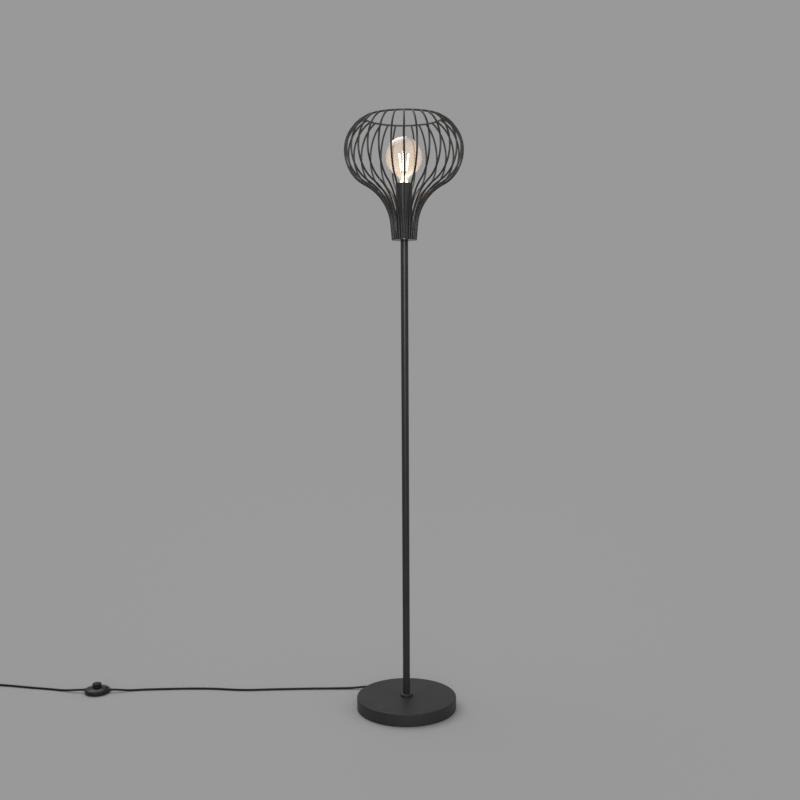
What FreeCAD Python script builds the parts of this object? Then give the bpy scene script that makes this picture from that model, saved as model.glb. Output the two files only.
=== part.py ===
"""Wire cage floor lamp: a round weighted base, a plain pole, an onion-shaped cage of bent wires
around a globe bulb, and a cord with a foot switch. Millimetres, +Z up, origin at the middle of
the base's underside, front towards -Y."""
import FreeCAD, Part
import math
import os
import Sketcher
from FreeCAD import Matrix, Placement, Rotation, Vector

os.makedirs("parts", exist_ok=True)
doc = FreeCAD.newDocument("cage_floor_lamp")

# ---------------------------------------------------------------- driving dimensions
DIMENSIONS = (
    # base
    ("base_radius", 134.0), ("base_height", 35.0), ("base_edge_round", 3.5),
    ("cover_wall", 1.5), ("cover_floor_gap", 1.0), ("cover_lip_width", 5.0),
    ("cover_lip_height", 1.2), ("bottom_plate_thickness", 1.5), ("seat_clearance", 0.3),
    ("weight_thickness", 8.0), ("weight_side_gap", 6.5), ("weight_bore_radius", 36.0),
    # threaded tubes, nuts and washers
    ("nipple_radius", 5.0), ("nipple_bore_radius", 3.7), ("thread_clearance", 0.05),
    ("hole_clearance", 0.1), ("nut_flats", 14.0), ("nut_height", 5.0),
    ("washer_radius", 12.0), ("washer_thickness", 1.5),
    # pole
    ("pole_radius", 9.5), ("pole_wall", 1.2), ("pole_length", 1197.0), ("bush_length", 16.0),
    ("foot_ring_radius", 17.0), ("foot_ring_height", 7.0), ("foot_ring_round", 3.0),
    # cage
    ("disc_thickness", 2.5), ("disc_rim", 0.1), ("wire_radius", 2.25), ("neck_radius", 29.5),
    ("neck_length", 35.0), ("flare_radius", 122.5),
    ("rim_radius", 95.5), ("cage_height", 288.25), ("weld_gap", 0.02),
    # lampholder
    ("sleeve_radius", 20.75), ("sleeve_wall", 1.0), ("sleeve_length", 134.0),
    ("holder_radius", 19.4), ("holder_wall", 2.0), ("holder_recess", 2.3),
    ("barrel_height", 36.0), ("cap_height", 24.0), ("insert_thickness", 12.0),
    ("insert_rise", 4.0), ("shell_radius", 13.8), ("shell_wall", 0.5), ("shell_height", 28.0),
    ("contact_radius", 4.0), ("contact_gap", 0.3),
    # bulb
    ("globe_radius", 47.5), ("globe_glass", 0.9), ("bulb_length", 138.0), ("bulb_sunk", 28.0),
    ("bulb_neck_radius", 12.6), ("bulb_seat_depth", 2.4), ("bulb_shoulder", 22.0), ("bulb_cap_length", 27.0),
    ("bulb_thread_radius", 13.1), ("bulb_thread_pitch", 3.62), ("bulb_thread_depth", 0.8),
    ("bulb_skirt_wall", 0.4), ("bulb_eyelet_radius", 7.5), ("filament_radius", 0.9), ("filament_length", 40.0),
    ("filament_foot_circle", 8.0), ("filament_head_circle", 13.0), ("filament_foot_rise", 58.0),
    ("stem_radius", 2.6), ("frame_wire_radius", 0.45),
    # cord
    ("cord_radius", 3.0), ("cord_exit_height", 10.0), ("gland_flange_radius", 6.8), ("gland_inner_radius", 6.0),
    ("gland_flange_thickness", 2.5), ("gland_neck_radius", 5.0), ("gland_boot_length", 19.5),
    ("gland_boot_root", 5.4), ("gland_boot_tip", 3.6), ("inner_bend_radius", 13.5),
    # foot switch
    ("switch_half_length", 35.0), ("switch_half_width", 33.5), ("switch_pad_height", 1.2),
    ("switch_pad_inset", 3.0), ("switch_parting", 9.0), ("switch_dome_rise", 9.5),
    ("switch_wall", 2.0), ("grommet_radius", 4.5), ("grommet_out", 2.0), ("grommet_in", 3.0),
    ("button_radius", 12.5), ("button_height", 28.5), ("button_gap", 0.3),
    ("button_wall", 2.4), ("button_round", 2.0), ("button_flange", 1.8), ("button_travel", 4.0),
    ("block_length", 22.0), ("block_width", 18.0), ("block_height", 5.8),
    ("plunger_radius", 3.9), ("plunger_seat_radius", 8.0), ("plunger_seat_height", 19.0),
    ("spring_radius", 6.0), ("spring_wire_radius", 0.5), ("screw_station", 27.0),
    ("screw_head_radius", 3.0), ("screw_radius", 1.45), ("screw_boss_radius", 4.2),
    ("screw_seat_rise", 2.6), ("screw_head_height", 1.8),
    ("lead_radius", 0.9),
    # plug
    ("plug_width", 35.3), ("plug_rear_width", 17.0), ("plug_thickness", 13.7),
    ("plug_length", 36.0), ("plug_boot_length", 24.0), ("plug_round", 3.0),
    ("pin_radius", 2.0), ("pin_length", 19.0), ("pin_sleeve_length", 10.0),
    ("pin_spacing", 18.6),
    # coil and its tie
    ("coil_outer_radius", 38.2), ("coil_pitch", 6.6), ("coil_layer_step", 6.6),
    ("tie_thickness", 0.8), ("tie_width", 9.0), ("tie_floor_gap", 0.2), ("tie_gap", 0.3),
)

sheet = doc.addObject("Spreadsheet::Sheet", "Sizes")
for row, (alias, value) in enumerate(DIMENSIONS, start=1):
    sheet.set("A%d" % row, alias)
    sheet.set("B%d" % row, str(value))
    sheet.setAlias("B%d" % row, alias)
doc.recompute()

# ---------------------------------------------------------------- counts and angles
WIRE_COUNT = 30             # cage wires, one of them straight in front
NECK_LEAN = 5.0             # degrees that the neck's wires lean outwards
FLARE_LEAN = 62.83          # degrees that they lean where the flare meets the belly
FILAMENT_COUNT = 6
THREAD_RIDGES = 5
CORD_AZIMUTH = 128.0        # degrees from +X, where the cord leaves the base
SPRING_TURNS = 5
COIL_TURNS_IN = 2.0         # lower layer, winding inwards
COIL_TURNS_UP = 0.5         # climbing to the upper layer
COIL_TURNS_OUT = 1.75       # upper layer, winding outwards
COIL_START = 90.0           # degrees, where the cord joins the coil
KNOTS_PER_TURN = 4

# places of the pieces on the floor, x and y
SWITCH_PLACE = (-877.0, 122.0)
COIL_PLACE = (-1237.0, 143.0)
TAIL_END = (-1231.0, 181.2)
CORD_END_RUN = 75.0         # from the coil to the plug's boot


class Size:
    """A length: its number, and the formula that ties it to the sheet."""

    def __init__(self, number, formula):
        self.number = float(number)
        self.formula = formula

    def __float__(self):
        return self.number

    def __add__(self, other):
        other = as_size(other)
        return Size(self.number + other.number, "(%s + %s)" % (self.formula, other.formula))

    def __sub__(self, other):
        other = as_size(other)
        return Size(self.number - other.number, "(%s - %s)" % (self.formula, other.formula))

    def __mul__(self, other):
        other = as_size(other)
        return Size(self.number * other.number, "(%s * %s)" % (self.formula, other.formula))

    def __truediv__(self, other):
        other = as_size(other)
        return Size(self.number / other.number, "(%s / %s)" % (self.formula, other.formula))

    def __radd__(self, other):
        return as_size(other) + self

    def __rsub__(self, other):
        return as_size(other) - self

    def __rmul__(self, other):
        return as_size(other) * self

    def __neg__(self):
        return as_size(0) - self


def as_size(value):
    return value if isinstance(value, Size) else Size(value, repr(float(value)))


def root(value):
    return Size(math.sqrt(value.number), "sqrt(%s)" % value.formula)


def size(alias):
    return Size(getattr(sheet, alias), "Sizes." + alias)


def number(alias):
    return float(getattr(sheet, alias))


# ---------------------------------------------------------------- levels shared by the pieces
cover_underside = size("base_height") - size("cover_wall")
lip_top = size("cover_floor_gap") + size("cover_lip_height")
plate_top = lip_top + size("bottom_plate_thickness")
weight_top = plate_top + size("weight_thickness")
pole_top = size("base_height") + size("pole_length")
disc_top = pole_top + size("disc_thickness")
disc_radius = size("neck_radius") + size("wire_radius") + size("disc_rim")
rim_height = disc_top + size("cage_height")
sleeve_top = disc_top + size("sleeve_length")
sleeve_floor_top = disc_top + size("sleeve_wall")
holder_top = sleeve_top - size("holder_recess")
barrel_foot = holder_top - size("barrel_height")
holder_foot = barrel_foot - size("cap_height")
insert_top = barrel_foot + size("insert_rise")
insert_foot = insert_top - size("insert_thickness")
bulb_foot = sleeve_top - size("bulb_sunk")
bulb_cap_top = bulb_foot + size("bulb_cap_length")
globe_foot = bulb_cap_top - size("bulb_seat_depth")
globe_centre = bulb_foot + size("bulb_length") - size("globe_radius")
bore_fit = size("nipple_radius") + size("thread_clearance")
hole_fit = size("nipple_radius") + size("hole_clearance")
bush_radius = size("pole_radius") - size("pole_wall") - size("thread_clearance")
coil_floor = (size("tie_floor_gap") + size("tie_thickness") + size("tie_gap")
              + size("cord_radius"))

pieces = {}


# ---------------------------------------------------------------- builders
def piece(name, made):
    """Name a finished sub-part, so that it is written under that name."""
    made.Label = name
    pieces[name] = made
    return made


def origin_plane(body, role):
    return next(item for item in body.Origin.OriginFeatures if item.Role == role)


def hold_point(sketch, corner, kind, axis, value):
    """Tie one coordinate of a corner to its formula, or to the axis where it is nought."""
    value = as_size(value)
    if abs(value.number) < 1e-9:
        sketch.addConstraint(Sketcher.Constraint("PointOnObject", corner, 1, axis))
        return
    place = sketch.addConstraint(Sketcher.Constraint(kind, -1, 1, corner, 1, value.number))
    sketch.setExpression("Constraints[%d]" % place, value.formula)


def outline(body, points, plane):
    """A closed outline of straight lines with every corner tied to the sheet."""
    sketch = body.newObject("Sketcher::SketchObject", body.Name + "_outline")
    sketch.AttachmentSupport = [(origin_plane(body, plane), "")]
    sketch.MapMode = "FlatFace"
    corners = [Vector(float(x), float(y), 0) for x, y in points]
    count = len(corners)
    for index, corner in enumerate(corners):
        sketch.addGeometry(Part.LineSegment(corner, corners[(index + 1) % count]), False)
    for index in range(count):
        sketch.addConstraint(Sketcher.Constraint("Coincident", index, 2, (index + 1) % count, 1))
    for index, (x, y) in enumerate(points):
        hold_point(sketch, index, "DistanceX", -2, x)
        hold_point(sketch, index, "DistanceY", -1, y)
    return sketch


def lathe(name, points, rounds=(), place=None):
    """A turned piece. points are (radius, height); rounds are (radius, height, rounding)."""
    body = doc.addObject("PartDesign::Body", name)
    sketch = outline(body, points, "XZ_Plane")
    turned = body.newObject("PartDesign::Revolution", name + "_turned")
    turned.Profile = sketch
    turned.ReferenceAxis = (sketch, ["V_Axis"])
    turned.Angle = 360
    doc.recompute()
    for index, (radius, height, rounding) in enumerate(rounds):
        round_edge(body, name, index, float(radius), float(height), rounding)
    if place is not None:
        body.Placement = place
    return body


def round_edge(body, name, index, radius, height, rounding):
    """Round the circular edge of a turned piece that lies at this radius and height."""
    base = body.Tip
    chosen = []
    for edge_number, edge in enumerate(base.Shape.Edges, start=1):
        if not isinstance(edge.Curve, Part.Circle):
            continue
        same_radius = abs(edge.Curve.Radius - radius) < 1e-4
        if same_radius and abs(edge.Curve.Center.z - height) < 1e-4:
            chosen.append("Edge%d" % edge_number)
    fillet = body.newObject("PartDesign::Fillet", "%s_round_%d" % (name, index))
    fillet.Base = (base, chosen)
    fillet.Radius = float(rounding)
    fillet.setExpression("Radius", as_size(rounding).formula)
    doc.recompute()


def ring_profile(inner, outer, low, high):
    return [(inner, low), (outer, low), (outer, high), (inner, high)]


def prism(name, points, low, height):
    """A straight prism of a flat outline, from the level low upwards."""
    body = doc.addObject("PartDesign::Body", name)
    sketch = outline(body, points, "XY_Plane")
    pad = body.newObject("PartDesign::Pad", name + "_pad")
    pad.Profile = sketch
    pad.Length = float(height)
    pad.setExpression("Length", as_size(height).formula)
    body.setExpression("Placement.Base.z", as_size(low).formula)
    doc.recompute()
    return body


def cylinder(name, radius, height, place):
    made = doc.addObject("Part::Cylinder", name)
    made.setExpression("Radius", as_size(radius).formula)
    made.setExpression("Height", as_size(height).formula)
    made.Placement = place
    return made


def cut(name, base, tool):
    made = doc.addObject("Part::Cut", name)
    made.Base = base
    made.Tool = tool
    doc.recompute()
    return made


def fuse(name, *parts):
    made = doc.addObject("Part::MultiFuse", name)
    made.Shapes = list(parts)
    doc.recompute()
    return made


def solid_piece(name, shape, place=None):
    """A piece whose solid is worked out directly from the sheet's numbers."""
    made = doc.addObject("Part::Feature", name)
    made.Shape = shape
    if place is not None:
        made.Placement = place
    return piece(name, made)


def hexagon(flats):
    corner = flats / math.sqrt(3)
    return [(corner * math.cos(math.radians(60 * k)), corner * math.sin(math.radians(60 * k)))
            for k in range(6)]


def hex_nut(name, low):
    blank = prism(name + "_blank", hexagon(size("nut_flats")), low, size("nut_height"))
    bore = cylinder(name + "_bore", bore_fit, size("nut_height") + 2,
                    Placement(Vector(0, 0, float(low) - 1), Rotation()))
    bore.setExpression("Placement.Base.z", (low - 1).formula)
    return piece(name, cut(name, blank, bore))


def washer(name, low):
    high = low + size("washer_thickness")
    return piece(name, lathe(name, ring_profile(hole_fit, size("washer_radius"), low, high)))


def straight(start, end):
    return Part.LineSegment(start, end).toShape()


def rounded_route(points):
    """Straight runs joined by tangent arcs, each as large as its two runs allow."""
    edges = []
    radii = []
    last = points[0]
    for before, corner, after in zip(points, points[1:], points[2:]):
        inwards = (corner - before).normalize()
        outwards = (after - corner).normalize()
        half_turn = inwards.getAngle(outwards) / 2
        reach = 0.45 * min((corner - before).Length, (after - corner).Length)
        radius = reach / math.tan(half_turn)
        entry = corner - inwards * reach
        leave = corner + outwards * reach
        towards = (outwards - inwards).normalize()
        middle = corner + towards * (radius / math.cos(half_turn) - radius)
        edges.append(straight(last, entry))
        edges.append(Part.Arc(entry, middle, leave).toShape())
        radii.append(radius)
        last = leave
    edges.append(straight(last, points[-1]))
    return Part.Wire(edges), radii


def sweep(path, radius):
    """A round section carried along a path; its volume is held against section by length."""
    first = path.Edges[0]
    start = first.valueAt(first.FirstParameter)
    heading = first.tangentAt(first.FirstParameter)
    section = Part.Wire([Part.Circle(start, heading, radius).toShape()])
    solid = path.makePipeShell([section], True, False)
    expected = math.pi * radius ** 2 * path.Length
    if abs(solid.Volume / expected - 1) > 0.01:
        raise ValueError("a swept piece has lost or gained volume")
    return solid


def free_cord(name, points):
    """A free stretch of cord, lying along its route."""
    path, radii = rounded_route(points)
    shape = sweep(path, number("cord_radius"))
    lowest = shape.optimalBoundingBox(False, False).ZMin
    print("%s: length %.1f mm, lowest %.2f mm, bend radii %s mm"
          % (name, path.Length, lowest, " ".join("%.0f" % radius for radius in radii)))
    return solid_piece(name, shape)


def bend(start, heading, end):
    """The arc that leaves start along heading and stops at end, by its apex half way."""
    chord = end - start
    foot = start + chord * 0.5
    along = chord.dot(heading) / chord.Length
    half_angle = math.acos(max(-1.0, min(1.0, along)))
    if half_angle < 1e-7:
        return straight(start, end)
    side = heading - chord * (heading.dot(chord) / chord.dot(chord))
    sag = chord.Length / 2 * math.tan(half_angle / 2)
    return Part.Arc(start, foot + side.normalize() * sag, end).toShape()


def biarcs(points, headings):
    """Pairs of tangent arcs through points, each with a given heading."""
    edges = []
    for start, end, leave, arrive in zip(points, points[1:], headings, headings[1:]):
        span = end - start
        both = leave + arrive
        square = 4 - both.dot(both)
        reach = (math.sqrt(span.dot(both) ** 2 + square * span.dot(span)) - span.dot(both))
        reach /= square
        joint = (start + leave * reach + end - arrive * reach) * 0.5
        edges.append(bend(start, leave, joint))
        turned = bend(end, arrive * -1, joint)
        turned.reverse()
        edges.append(Part.Arc(joint, turned.valueAt((turned.FirstParameter
                                                     + turned.LastParameter) / 2), end).toShape())
    return edges


def winding(place, turns, knots, ends):
    """Edges along a winding. place(turn) gives a point; ends are the headings at its ends."""
    step = turns / knots
    stations = [step * k for k in range(knots + 1)]
    points = [place(turn) for turn in stations]
    headings = [(place(turn + 0.001) - place(turn - 0.001)).normalize() for turn in stations]
    headings[0], headings[-1] = ends
    return points, biarcs(points, headings)


# ---------------------------------------------------------------- base
outward = Vector(math.cos(math.radians(CORD_AZIMUTH)), math.sin(math.radians(CORD_AZIMUTH)), 0)
along_exit = Rotation(Vector(0, 0, 1), outward)


def at_exit(distance):
    """The cord's way out of the base, at this distance from the lamp's axis."""
    return outward * distance + Vector(0, 0, number("cord_exit_height"))


def make_base():
    radius = size("base_radius")
    wall = size("cover_wall")
    lip_radius = radius - size("cover_lip_width")
    shell = lathe("base_cover_shell", [
        (hole_fit, cover_underside), (radius - wall, cover_underside), (radius - wall, lip_top),
        (lip_radius, lip_top), (lip_radius, size("cover_floor_gap")),
        (radius, size("cover_floor_gap")), (radius, size("base_height")),
        (hole_fit, size("base_height"))],
        rounds=[(radius, size("base_height"), size("base_edge_round")),
                (radius - wall, cover_underside, size("base_edge_round") - wall)])
    exit_hole = cylinder("base_exit_hole", size("gland_neck_radius") + size("hole_clearance"),
                         size("cover_wall") * 4,
                         Placement(at_exit(float(radius - wall * 3)), along_exit))
    piece("base_cover", cut("base_cover", shell, exit_hole))

    plate_radius = radius - wall - size("seat_clearance")
    piece("base_bottom_plate", lathe("base_bottom_plate", [
        (0, lip_top), (plate_radius, lip_top), (plate_radius, plate_top), (0, plate_top)]))

    pad_radius = lip_radius - size("seat_clearance")
    piece("base_felt_pad", lathe("base_felt_pad", [
        (0, 0), (pad_radius, 0), (pad_radius, lip_top), (0, lip_top)]))

    weight_radius = radius - wall - size("weight_side_gap")
    blank = lathe("base_weight_blank", ring_profile(
        size("weight_bore_radius"), weight_radius, plate_top, weight_top),
        rounds=[(weight_radius, weight_top, 2)])
    groove_half = number("cord_radius") + 1.0
    groove_floor = number("cord_exit_height") - groove_half
    groove = doc.addObject("Part::Box", "base_weight_groove")
    groove.setExpression("Length", weight_radius.formula)
    groove.setExpression("Width", (size("cord_radius") * 2 + 2).formula)
    groove.setExpression("Height", size("weight_thickness").formula)
    side = Vector(-outward.y, outward.x, 0) * -groove_half
    turned = Rotation(Vector(0, 0, 1), CORD_AZIMUTH)
    groove.Placement = Placement(side + outward * 10 + Vector(0, 0, groove_floor), turned)
    piece("base_weight", cut("base_weight", blank, groove))

    washer_foot = cover_underside - size("washer_thickness")
    washer("base_washer", washer_foot)
    hex_nut("base_nut", washer_foot - size("nut_height"))
    nipple_foot = washer_foot - size("nut_height") - 2
    nipple_head = size("base_height") + size("bush_length")
    piece("base_nipple", lathe("base_nipple", ring_profile(
        size("nipple_bore_radius"), size("nipple_radius"), nipple_foot, nipple_head)))


def make_gland():
    """The moulded strain relief: a flange each side of the wall, and a tapered boot."""
    wall_out = size("base_radius")
    wall_in = wall_out - size("cover_wall")
    inner_face = wall_in - 4
    flange_top = wall_out + size("gland_flange_thickness")
    tip = flange_top + size("gland_boot_length")
    gland = lathe("cord_gland", [
        (0, inner_face), (size("gland_inner_radius"), inner_face),
        (size("gland_inner_radius"), wall_in - 0.2), (size("gland_neck_radius"), wall_in - 0.2),
        (size("gland_neck_radius"), wall_out), (size("gland_flange_radius"), wall_out),
        (size("gland_flange_radius"), flange_top), (size("gland_boot_root"), flange_top),
        (size("gland_boot_tip"), tip), (0, tip)],
        rounds=[(size("gland_flange_radius"), flange_top, 1)],
        place=Placement(Vector(0, 0, number("cord_exit_height")), along_exit))
    piece("cord_gland", gland)
    return float(inner_face), float(tip)


# ---------------------------------------------------------------- pole
def make_pole():
    radius = size("pole_radius")
    piece("pole", lathe("pole", ring_profile(
        radius - size("pole_wall"), radius, size("base_height"), pole_top)))
    ring_bore = radius + size("hole_clearance")
    ring_top = size("base_height") + size("foot_ring_height")
    piece("pole_foot_ring", lathe("pole_foot_ring", ring_profile(
        ring_bore, size("foot_ring_radius"), size("base_height"), ring_top),
        rounds=[(size("foot_ring_radius"), ring_top, size("foot_ring_round"))]))
    piece("pole_foot_bush", lathe("pole_foot_bush", ring_profile(
        bore_fit, bush_radius, size("base_height"), size("base_height") + size("bush_length"))))
    piece("pole_head_bush", lathe("pole_head_bush", ring_profile(
        bore_fit, bush_radius, pole_top - size("bush_length"), pole_top)))


# ---------------------------------------------------------------- cage
def cage_wire_path():
    """Centre line of one wire in the XZ plane: leaning neck, outward flare, round belly."""
    neck_lean = math.radians(NECK_LEAN)
    flare_lean = math.radians(FLARE_LEAN)
    middle_lean = (neck_lean + flare_lean) / 2
    flare = number("flare_radius")

    def on_flare(lean):
        return flare_centre + Vector(-math.cos(lean), 0, math.sin(lean)) * flare

    up_neck = Vector(math.sin(neck_lean), 0, math.cos(neck_lean))
    foot = Vector(number("neck_radius"), 0, float(disc_top))
    neck_end = foot + up_neck * number("neck_length")
    flare_centre = neck_end + Vector(math.cos(neck_lean), 0, -math.sin(neck_lean)) * flare
    joint = on_flare(flare_lean)
    # the belly is the one arc that goes on from the flare and ends at the rim ring
    heading = Vector(math.sin(flare_lean), 0, math.cos(flare_lean))
    rim = Vector(number("rim_radius"), 0, float(rim_height))
    start = foot - up_neck * 2 * number("wire_radius")
    return Part.Wire([straight(start, neck_end),
                      Part.Arc(neck_end, on_flare(middle_lean), joint).toShape(),
                      bend(joint, heading, rim)])


def make_cage():
    piece("cage_disc", lathe("cage_disc", ring_profile(hole_fit, disc_radius, pole_top, disc_top)))
    ring = doc.addObject("Part::Torus", "cage_rim_ring")
    ring.setExpression("Radius1", "Sizes.rim_radius")
    ring.setExpression("Radius2", "Sizes.wire_radius")
    ring.setExpression("Placement.Base.z", rim_height.formula)
    piece("cage_rim_ring", ring)

    whole = sweep(cage_wire_path(), number("wire_radius"))
    below = Part.makeCylinder(float(disc_radius) * 2, 40, Vector(0, 0, float(disc_top) - 40))
    saddle = Part.makeTorus(number("rim_radius"), number("wire_radius") + number("weld_gap"),
                            Vector(0, 0, float(rim_height)))
    wire = whole.cut(below).cut(saddle)
    wires = []
    for index in range(WIRE_COUNT):
        turned = wire.Solids[0].copy()
        turned.rotate(Vector(), Vector(0, 0, 1), 360.0 * index / WIRE_COUNT - 90)
        wires.append(turned)
    solid_piece("cage_wires", Part.makeCompound(wires))


# ---------------------------------------------------------------- lampholder
def make_holder():
    nut_foot = sleeve_floor_top + size("washer_thickness")
    washer("holder_washer", sleeve_floor_top)
    hex_nut("holder_nut", nut_foot)
    piece("holder_nipple", lathe("holder_nipple", ring_profile(
        size("nipple_bore_radius"), size("nipple_radius"),
        pole_top - size("bush_length") + 2, holder_foot + size("holder_wall") * 4)))

    sleeve_bore = size("sleeve_radius") - size("sleeve_wall")
    piece("lampholder_sleeve", lathe("lampholder_sleeve", [
        (hole_fit, disc_top), (size("sleeve_radius"), disc_top),
        (size("sleeve_radius"), sleeve_top), (sleeve_bore, sleeve_top),
        (sleeve_bore, sleeve_floor_top), (hole_fit, sleeve_floor_top)]))

    radius = size("holder_radius")
    bore = radius - size("holder_wall")
    floor = holder_foot + size("holder_wall")
    boss_top = holder_foot + size("holder_wall") * 4
    ledge = bore - 2
    piece("holder_cap", lathe("holder_cap", [
        (bore_fit, holder_foot), (radius, holder_foot), (radius, barrel_foot), (bore, barrel_foot),
        (bore, insert_foot), (ledge, insert_foot), (ledge, floor), (bore_fit + 3, floor),
        (bore_fit + 3, boss_top), (bore_fit, boss_top)],
        rounds=[(radius, holder_foot, 2)]))
    piece("holder_insert", lathe("holder_insert", [
        (0, insert_foot), (bore - size("hole_clearance"), insert_foot),
        (bore - size("hole_clearance"), insert_top), (0, insert_top)]))
    shell = size("shell_radius")
    shell_fit = shell + size("hole_clearance")
    piece("holder_barrel", lathe("holder_barrel", [
        (bore, barrel_foot), (radius, barrel_foot), (radius, holder_top), (shell_fit, holder_top),
        (shell_fit, insert_top + 0.3), (bore, insert_top + 0.3)],
        rounds=[(radius, holder_top, 1)]))
    piece("holder_thread_shell", lathe("holder_thread_shell", ring_profile(
        shell - size("shell_wall"), shell, insert_top, insert_top + size("shell_height"))))
    piece("holder_centre_contact", lathe("holder_centre_contact", [
        (0, insert_top), (size("contact_radius"), insert_top),
        (size("contact_radius"), insert_top + 1), (2, bulb_foot - size("contact_gap")),
        (0, bulb_foot - size("contact_gap"))]))
    screws = []
    leads = []
    under = float(insert_foot)
    cord_end = float(boss_top) + 2
    for side in (1, -1):
        screws.append(Part.makeCylinder(2.4, 1.8, Vector(side * 9.0, 0, under - 1.8)))
        route = [Vector(side * 1.4, 0, cord_end), Vector(side * 1.4, 0, cord_end + 2.4),
                 Vector(side * 4.2, 0, under - 1.1), Vector(side * 6.4, 0, under - 1.1)]
        leads.append(sweep(rounded_route(route)[0], number("lead_radius")))
    solid_piece("holder_terminal_screws", Part.makeCompound(screws))
    solid_piece("holder_leads", Part.makeCompound(leads))


# ---------------------------------------------------------------- bulb
def globe_outline(inset):
    """Half section of the glass: neck, shoulder and globe, from the neck up to the crown."""
    centre = Vector(0, 0, float(globe_centre))
    globe = number("globe_radius") - inset
    neck = number("bulb_neck_radius") - inset
    shoulder = number("bulb_shoulder") + inset
    drop = math.sqrt((globe + shoulder) ** 2 - (neck + shoulder) ** 2)
    shoulder_centre = Vector(neck + shoulder, 0, centre.z - drop)
    foot = Vector(neck, 0, float(globe_foot))
    waist = Vector(neck, 0, shoulder_centre.z)
    touch = shoulder_centre + (centre - shoulder_centre).normalize() * shoulder
    shoulder_apex = (shoulder_centre
                     + ((waist + touch) * 0.5 - shoulder_centre).normalize() * shoulder)
    crown = centre + Vector(0, 0, globe)
    side = centre + Vector(globe, 0, 0)
    return foot, crown, [straight(foot, waist), Part.Arc(waist, shoulder_apex, touch).toShape(),
                         Part.Arc(touch, side, crown).toShape()]


def revolve_edges(edges):
    face = Part.Face(Part.Wire(Part.__sortEdges__(edges)))
    return face.revolve(Vector(), Vector(0, 0, 1), 360)


def make_bulb():
    glass = number("globe_glass")
    foot, crown, outside = globe_outline(0)
    inner_foot, inner_crown, inside = globe_outline(glass)
    edges = outside + inside + [straight(foot, inner_foot), straight(crown, inner_crown)]
    globe = revolve_edges(edges)
    solid_piece("bulb_globe", globe)

    thread = size("bulb_thread_radius")
    core = thread - size("bulb_thread_depth")
    wall = size("bulb_skirt_wall")
    neck = size("bulb_neck_radius")
    bore = core - wall
    low = bulb_foot + 3.5
    eyelet = size("bulb_eyelet_radius")
    profile = [(bore, low + 2.5), (eyelet, low + wall), (eyelet, low), (core, low + 2)]
    ridge = low + 2
    for _ in range(THREAD_RIDGES):
        profile += [(thread, ridge + size("bulb_thread_pitch") * 0.35),
                    (thread, ridge + size("bulb_thread_pitch") * 0.65),
                    (core, ridge + size("bulb_thread_pitch"))]
        ridge = ridge + size("bulb_thread_pitch")
    skirt = neck + size("hole_clearance")
    profile += [(skirt + wall, ridge + 0.3), (skirt + wall, bulb_cap_top),
                (skirt, bulb_cap_top), (skirt, ridge + 0.7), (bore, ridge + 0.7)]
    piece("bulb_cap", lathe("bulb_cap", profile))
    piece("bulb_insulator", lathe("bulb_insulator", [
        (0, bulb_foot + 1.5), (5, bulb_foot + 1.5), (eyelet - size("hole_clearance"), low),
        (eyelet - size("hole_clearance"), low + 1), (0, low + 1)]))
    piece("bulb_contact", lathe("bulb_contact", [
        (0, bulb_foot), (3, bulb_foot), (4.8, bulb_foot + 1.5), (0, bulb_foot + 1.5)]))
    make_filaments()


def make_filaments():
    """A glass stem on the bulb's axis, and slim filament rods leaning out around it."""
    rod = number("stem_radius")
    stem_foot = float(globe_foot)
    neck = number("bulb_neck_radius") - number("globe_glass")
    foot_height = float(bulb_foot) + number("filament_foot_rise")
    foot_circle = number("filament_foot_circle")
    head_circle = number("filament_head_circle")
    length = number("filament_length")
    rise = math.sqrt(length ** 2 - (head_circle - foot_circle) ** 2)
    head_height = foot_height + rise
    flare_top = stem_foot + 16
    corners = [Vector(0, 0, stem_foot), Vector(neck - 0.1, 0, stem_foot),
               Vector(neck - 0.1, 0, stem_foot + 3), Vector(rod * 2, 0, flare_top),
               Vector(rod, 0, foot_height - 8), Vector(rod * 0.7, 0, head_height + 2),
               Vector(0, 0, head_height + 2)]
    edges = [straight(a, b) for a, b in zip(corners, corners[1:] + corners[:1])]
    solid_piece("bulb_stem", revolve_edges(edges))

    wire = number("frame_wire_radius")
    rods = []
    supports = []
    for index in range(FILAMENT_COUNT):
        turn = math.radians(360.0 * (index + 0.5) / FILAMENT_COUNT)
        facing = Vector(math.cos(turn), math.sin(turn), 0)
        foot = facing * foot_circle + Vector(0, 0, foot_height)
        head = facing * head_circle + Vector(0, 0, head_height)
        heading = (head - foot).normalize()
        rods.append(Part.makeCylinder(number("filament_radius"), length, foot, heading))
        low = facing * (rod + 0.4) + Vector(0, 0, foot_height - 6)
        low_way = foot - heading * 0.2 - low
        supports.append(Part.makeCylinder(wire, low_way.Length, low, low_way))
        high = facing * (rod * 0.7 + 0.4) + Vector(0, 0, head_height)
        high_way = head + heading * 0.6 - high
        supports.append(Part.makeCylinder(wire, high_way.Length, high, high_way))
    solid_piece("bulb_filaments", Part.makeCompound(rods))
    solid_piece("bulb_filament_supports", Part.makeCompound(supports))


# ---------------------------------------------------------------- cord inside the lamp
def make_inner_cord(inner_face):
    """The cord from the lampholder down the pole, round one bend and out to the gland."""
    radius = number("cord_radius")
    turn = number("inner_bend_radius")
    level = number("cord_exit_height")
    top = Vector(0, 0, float(holder_foot + size("holder_wall") * 4) + 2)
    above = Vector(0, 0, level + turn)
    beside = outward * turn + Vector(0, 0, level)
    centre = outward * turn + Vector(0, 0, level + turn)
    apex = centre + (outward * -1 + Vector(0, 0, -1)).normalize() * turn
    path = Part.Wire([straight(top, above), Part.Arc(above, apex, beside).toShape(),
                      straight(beside, at_exit(inner_face))])
    print("inner_cord: length %.1f mm, bend radius %.1f mm" % (path.Length, turn))
    solid_piece("inner_cord", sweep(path, radius))


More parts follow.
